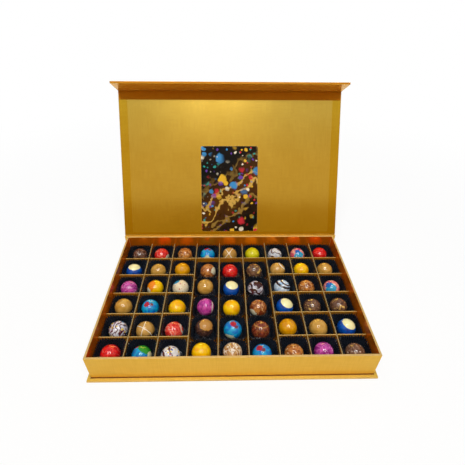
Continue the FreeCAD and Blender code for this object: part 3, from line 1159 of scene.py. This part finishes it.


# Chocolate finishes, each a base of two colours and the layers over it
# Directions are as seen from the front: right, up, towards the eye
# What stands after a layer's colour:
# patch: direction, reach, ragged edge; stroke: direction, level, width; foot: level, softness (darker towards
# the bottom: a dark chocolate foot on the milk ones, painted shade on the yellow ones)
# lines: direction, count, width, bend; veins: scale, width
# specks: scale, share left out, size; flakes: scale, share left out
chocolateKinds = {
    "dark": {"base": ("3a2018", "6e4736"), "swirl": 2.4, "layers": [("veins", "b29484", 1.5, 0.024)]},
    "flaked": {"base": ("4e3022", "845f48"), "swirl": 3.2, "layers": [("flakes", "e2b662", 1.6, 0.61)]},
    "speckled": {"base": ("543424", "8a6248"), "swirl": 2.5, "layers": [
        ("specks", ("cbb096", "a0846a"), 4.2, 0.30, 0.44)]},
    "red": {"base": ("c00c18", "ee3a2e"), "swirl": 2.0, "layers": [
        ("veins", "f79a84", 0.8, 0.020), ("patch", "d9d2b4", (0.62, -0.66, 0.42), 0.86, 0.10)]},
    "redMarbled": {"base": ("c81e1c", "f05444"), "swirl": 1.8, "layers": [
        ("veins", "f6a08a", 0.8, 0.034), ("stroke", "ecdcc4", (0.90, 0.25, 0.1), 0.88, 0.05)]},
    "redPlain": {"base": ("c40612", "ec2420"), "swirl": 1.6, "layers": [("veins", "f08070", 0.7, 0.010)]},
    "copper": {"base": ("84400f", "d4883c"), "swirl": 1.7, "layers": [("veins", "f0cc94", 1.2, 0.018)]},
    "copperCream": {"base": ("702a12", "c27a3a"), "swirl": 1.2, "layers": [
        ("veins", "e8b078", 1.0, 0.018), ("patch", "d8d4b8", (0.80, -0.30, 0.45), 0.86, 0.14)]},
    "brownGold": {"base": ("561d14", "8a3f28"), "swirl": 1.6, "layers": [
        ("stroke", "b8803f", (-0.35, 0.80, 0.25), 0.66, 0.04), ("veins", "b0743c", 1.5, 0.02)]},
    "blueSplash": {"base": ("0068c4", "08acd8"), "swirl": 1.2, "layers": [
        ("patch", "d8dcb4", (-0.10, -0.90, 0.40), 0.80, 0.20),
        ("patch", "b0162e", (-0.10, 0.72, 0.66), 0.945, 0.06),
        ("patch", "7a3038", (0.34, 0.48, 0.80), 0.978, 0.04)]},
    "pinkSplash": {"base": ("dc3c64", "f6bc9c"), "swirl": 1.5, "layers": [
        ("patch", "22a0c8", (0.12, -0.16, 0.98), 0.78, 0.16),
        ("patch", "1560b4", (-0.26, 0.26, 0.93), 0.93, 0.14),
        ("specks", ("f4ece0", "b32448"), 3.0, 0.62, 0.30)]},
    "greenSplash": {"base": ("006cb4", "04a0cc"), "swirl": 1.4, "layers": [
        ("patch", "2a9224", (0.42, 0.80, 0.42), 0.66, 0.14),
        ("patch", "e8e0ae", (0.88, -0.08, 0.48), 0.88, 0.10),
        ("patch", "cf4a34", (-0.50, 0.84, 0.22), 0.97, 0.05)]},
    "milk": {"base": ("ba8834", "d4a450"), "swirl": 0.9, "layers": [("foot", "3a1e0e", -0.16, 0.22)]},
    "milkLines": {"base": ("b48438", "cc9a50"), "swirl": 0.9, "layers": [
        ("foot", "3a1e0e", -0.35, 0.22), ("stroke", "f6ecd8", (0.80, 0.55, 0.0), -0.16, 0.036),
        ("stroke", "f6ecd8", (-0.75, 0.60, 0.2), 0.22, 0.036)]},
    "milkSwoosh": {"base": ("c08c3c", "d8a858"), "swirl": 0.9, "layers": [
        ("foot", "3d2010", -0.35, 0.25), ("stroke", "f4ecdc", (0.82, 0.44, 0.1), 0.85, 0.05)]},
    "milkHalf": {"base": ("34201c", "5e4038"), "swirl": 2.4, "layers": [
        ("patch", "bc8640", (0.26, 0.46, 0.85), 0.68, 0.20)]},
    "milkVeined": {"base": ("a06c34", "d2a468"), "swirl": 1.5, "layers": [
        ("lines", "e6d2b0", (0.60, 0.70, 0.2), 4.2, 0.20, 1.9), ("veins", "f2e6d2", 1.0, 0.055)]},
    # the darker bottoms of the yellow, mustard and lime ones are painted shade
    "yellow": {"base": ("f4aa00", "ffce00"), "swirl": 1.0, "layers": [("foot", "b86c00", -0.5, 0.4)]},
    "mustard": {"base": ("d08800", "e6a404"), "swirl": 1.0, "layers": [("foot", "8f4e06", -0.42, 0.45)]},
    "lime": {"base": ("c8bc00", "e0d61c"), "swirl": 1.0, "layers": [("foot", "7a6c04", -0.45, 0.4)]},
    "yellowOrange": {"base": ("f4b000", "ffce00"), "swirl": 1.0, "layers": [
        ("patch", "ee8600", (-0.85, 0.15, 0.50), 0.66, 0.10),
        ("patch", "dcd8b8", (-0.76, -0.52, 0.38), 0.93, 0.06)]},
    "whiteDrizzle": {"base": ("b4b8c4", "f0ece4"), "swirl": 1.8, "layers": [
        ("lines", "5a3428", (0.80, 0.45, 0.3), 3.2, 0.17, 1.2)]},
    "darkDrizzle": {"base": ("8e90a8", "e2dee6"), "swirl": 1.8, "layers": [
        ("lines", "3c1a1c", (0.55, 0.70, 0.3), 2.6, 0.58, 1.5), ("veins", "5a2c30", 0.8, 0.05)]},
    "creamSpots": {"base": ("e4cfa8", "f4e4c6"), "swirl": 1.6, "layers": [
        ("patch", "1c8fb8", (-0.30, 0.85, 0.42), 0.88, 0.12),
        ("specks", ("b83a30", "8a5a3c", "c04a40"), 3.6, 0.62, 0.32)]},
    "paleBlue": {"base": ("8cb8de", "eef2f4"), "swirl": 1.8, "layers": [
        ("stroke", "33201f", (0.10, 0.95, 0.1), 0.46, 0.13),
        ("stroke", "4a3234", (0.22, 0.90, 0.1), 0.80, 0.06)]},
    "whiteSpatter": {"base": ("d6d2d0", "f6f2ea"), "swirl": 2.0, "layers": [
        ("specks", ("2f63ae", "b52838", "f0cc28", "7a3a60", "3b86b8"), 3.6, 0.10, 0.44),
        ("lines", "5a2a28", (0.85, 0.40, 0.2), 2.6, 0.16, 1.0)]},
    "darkSpatter": {"base": ("c2bece", "e8e6ec"), "swirl": 2.0, "layers": [
        ("specks", ("3b86b8", "f0cc28", "7a3a60"), 3.0, 0.30, 0.48),
        ("lines", "5a2a32", (0.90, 0.22, 0.2), 4.4, 0.27, 1.9), ("veins", "8a6a70", 1.6, 0.03)]},
    "capped": {"base": ("063a96", "0a5cc0"), "swirl": 1.2, "layers": [
        ("patch", "f8f0b4", (0.0, 0.0, 1.0), 0.67, 0.02)]},
    "magenta": {"base": ("8e1e78", "dc58b2"), "swirl": 1.2, "layers": [("veins", "f6aede", 0.9, 0.009)]},
    "magentaCream": {"base": ("8c1876", "d44aaa"), "swirl": 1.1, "layers": [
        ("veins", "f0a0d6", 0.9, 0.010), ("stroke", "efe4de", (0.80, -0.35, 0.1), 0.70, 0.08)]},
}
glazeSettings = {
    "fixed": {"Coat Weight": 1.0, "Coat Roughness": 0.04, "Coat IOR": 1.6, "Specular IOR Level": 0.1},
    "apart": (7.3, 3.1, 5.9),  # from one chocolate's pattern to the next
    "swirl": (2.0, 1.6),  # detail, distortion
    "contrast": (0.32, 0.68),
    "fine": (9.0, 3.0),  # scale, detail
    "edge": (3.6, 3.0),
    "bend": (1.3, 1.0),
    "vein": (1.5, 1.2),
    "leaf": (5.0, 0.8),
    "leafCrease": (14.0, 0.25),  # scale, share
    "patchEdge": 0.02,
    "strokeEdge": (0.6, 1.2),
    "strokeWander": 0.12,
    "lineEdge": 0.15,
    "veinCore": 0.25,
    "speckCore": 0.7,
    "footAndShadeUp": (0.0, 0.72, 0.69),
    "footAndShadeWander": 0.15,
    "ragged": (6.0, 0.16),
    "leafEdge": 0.015,
    "roughness": (0.20, 0.10),  # least, and by fine noise
    "bump": (0.10, 0.0006),
    "bumpFine": 0.4,
}


def chocolateFinish(kind):
    s = glazeSettings
    spec = chocolateKinds[kind]
    made = Finish(kind + "Chocolate", s["fixed"])
    local = made.node("ShaderNodeAttribute", {"attribute_name": "local"}, out="Vector")
    seed = made.node("ShaderNodeAttribute", {"attribute_name": "seed"}, out="Fac")
    where = made.vec("ADD", local, made.vector(*(seed * apart for apart in s["apart"])))
    swirl = made.noise(where, spec["swirl"], *s["swirl"])
    fine = made.noise(where, *s["fine"])
    edgeNoise = made.noise(where, *s["edge"]) - 0.5
    bendNoise = made.noise(where, *s["bend"]) - 0.5

    def towards(direction):
        return made.dot(local, Vector(direction).normalized())

    shown = made.between(made.step(swirl, *s["contrast"]), spec["base"])
    for form, colour, *sizes in spec["layers"]:
        paint = None if form == "specks" else hexColour(colour)
        if form == "specks":  # of several colours
            scale, amount, size = sizes
            stops = [(i / len(colour), hexColour(c)) for i, c in enumerate(colour)]
            away, lot, paint = made.drops(where, scale, s["ragged"], stops)
            mask = (1 - made.step(away, size * s["speckCore"], size)) * (lot > amount)
        elif form == "patch":
            direction, reach, wobble = sizes
            facing = towards(direction) + edgeNoise * (wobble * 2)
            mask = made.step(facing, reach - s["patchEdge"], reach + s["patchEdge"])
        elif form == "stroke":  # one band round the ball
            direction, level, width = sizes
            away = abs(towards(direction) - level + edgeNoise * s["strokeWander"])
            mask = 1 - made.step(away, *(width * edge for edge in s["strokeEdge"]))
        elif form == "lines":  # drizzle
            direction, count, width, bend = sizes
            run = towards(direction) * count + bendNoise * (bend * 3.0)
            edge = 1 - 2 * width
            mask = made.step((run * math.pi).of("SINE"), edge, edge + s["lineEdge"])
        elif form == "veins":
            scale, width = sizes
            away = abs(made.noise(where, scale, *s["vein"]) - 0.5)
            mask = 1 - made.step(away, width * s["veinCore"], width)
        elif form == "foot":
            # darker towards the bottom: a dark chocolate foot on the milk ones, painted shade on the yellow
            # ones
            level, soft = sizes
            height = made.dot(local, s["footAndShadeUp"]) + edgeNoise * s["footAndShadeWander"]
            mask = 1 - made.step(height, level - soft, level + soft)
        elif form == "flakes":
            scale, amount = sizes
            creaseScale, creaseShare = s["leafCrease"]
            crease = made.noise(where, creaseScale) - 0.5
            leaf = made.noise(where, scale, *s["leaf"]) + creaseShare * crease
            mask = made.step(leaf, amount, amount + s["leafEdge"])
        shown = made.mix(mask, shown, paint)
    made.feed("Base Color", shown)
    least, byFine = s["roughness"]
    made.feed("Roughness", least + byFine * fine)
    made.bump(fine * s["bumpFine"] + swirl, *s["bump"])
    return made.material


ballSettings = {
    "Radius": 12.3 * mm,
    "Foot": 3.5 * mm,
    "segments": 56,
    "rings": 36,
    "lift": 0.35,
    "axes": ("across", "upward", "outward"),
    "turn": 0.5,  # radians either way
    "plainTurn": 0.22,
    "plain": ("capped", "milk", "yellow", "mustard", "lime"),
    "turnShares": (0.6, 0.6, 1.0),  # tipped, turned, rolled
    "seeds": 20,
}


def ballTree():
    s = ballSettings
    shape = Shape("chocolateBalls", ["Radius", "Foot"])
    radius, foot = shape.given.also("Radius"), shape.given.also("Foot")
    ball = shape.node("GeometryNodeMeshUVSphere", {}, {
        "Segments": s["segments"], "Rings": s["rings"], "Radius": radius})
    middle = (radius * radius - foot * foot) ** 0.5  # height of the centre over the flat foot
    x, y, z = shape.parts(shape.position())
    ball = shape.moved(ball, "Position", shape.vector(x, y, z.most(middle * -1.0)))
    points = shape.moved(shape.given, "Offset", shape.vector(0.0, 0.0, middle))
    points = shape.store(points, "centre", shape.position())
    balls = shape.repeated(points, ball)
    away = shape.vec("SUBTRACT", shape.position(), shape.stored("centre"))
    local = shape.vector(*(shape.dot(away, shape.stored(axis)) / radius for axis in s["axes"]))
    return shape.close(shape.store(balls, "local", local))


def ballAxes(place, spin):  # right, up and towards the eye at one chocolate, then spun
    right, upward, ahead = cameraAxes()
    outward = (Vector(cameraSettings["place"]) - place).normalized()
    across = (right - outward * right.dot(outward)).normalized()
    turn = Matrix((across, outward.cross(across), outward)).transposed()
    for axis, angle in zip("ZYX", reversed(spin)):
        turn = turn @ Matrix.Rotation(angle, 3, axis)
    return [axis.copy() for axis in turn.transposed()]


# Which way round some of them lie, in radians: tipped up, turned right, rolled
laid = {
    (0, 3): (-0.4, 0.0, 0.1), (0, 4): (-0.3, 0.0, 0.0),
    (1, 0): (-1.0, -0.04, 0.0), (2, 4): (-0.78, 0.21, 0.0),
    (3, 1): (0.22, -0.05, 0.55), (3, 5): (0.0, 0.0, -2.1), (3, 6): (-0.67, 0.54, 0.0),
    (4, 1): (-0.45, 0.0, 0.45), (4, 3): (0.0, 0.0, 0.0), (4, 4): (0.15, 0.0, -0.25),
    (4, 8): (-0.64, 0.64, 0.0), (5, 1): (0.0, 0.0, 0.0), (5, 5): (0.15, -0.1, 0.15),
}


def makeChocolates():
    s = ballSettings
    tree = ballTree()
    dice = random.Random(21)
    byFamily = {}
    for row, column, kind in cells:
        place = (cellCentre(row, column) + Vector((*settled[row][column], s["lift"]))) * mm
        most = s["plainTurn"] if kind in s["plain"] else s["turn"]
        spin = [dice.uniform(-most, most) * share for share in s["turnShares"]]
        entry = (place, ballAxes(place, laid.get((row, column), spin)), dice.uniform(0, s["seeds"]))
        byFamily.setdefault(familyOf[kind], {}).setdefault(kind, []).append(entry)
    for family, kinds in sorted(byFamily.items()):
        made = []
        for kind, found in sorted(kinds.items()):
            places, axes, seeds = (list(values) for values in zip(*found))
            attributes = {"seed": ("FLOAT", seeds)}
            for label, vectors in zip(s["axes"], zip(*axes)):
                attributes[label] = ("FLOAT_VECTOR", vectors)
            given = {"Radius": s["Radius"], "Foot": s["Foot"], "Material": chocolateFinish(kind)}
            made.append(evaluated(pointCloud(family + "_balls", places, attributes), tree, given))
        first = made[0]
        if len(made) > 1:
            with bpy.context.temp_override(active_object=first, object=first, selected_editable_objects=made):
                bpy.ops.object.join()
        first.name = family + "_balls"
        first.data.polygons.foreach_set("use_smooth", [True] * len(first.data.polygons))
        settle(first, family + "_pieces", family + "_chocolate", family + "_chocolates")


makeChocolates()
print("chocolates made")


# Boards and catch parts stay as the CAD has them, inside the paper
def dress(node, material):
    slots = cadNodes[node].data.materials
    slots.clear()
    slots.append(material)


trayBoards = ["tray_floor"] + ["tray_" + side + "_wall" for side in ("front", "rear", "left", "right")]
for nodeName in cadNodes:
    if nodeName.endswith("_board") or nodeName in trayBoards:
        dress(nodeName, greyboard)
dress("flap_magnets", magnetMetal)
dress("catch_plates", plateMetal)
print("boards and catches dressed")
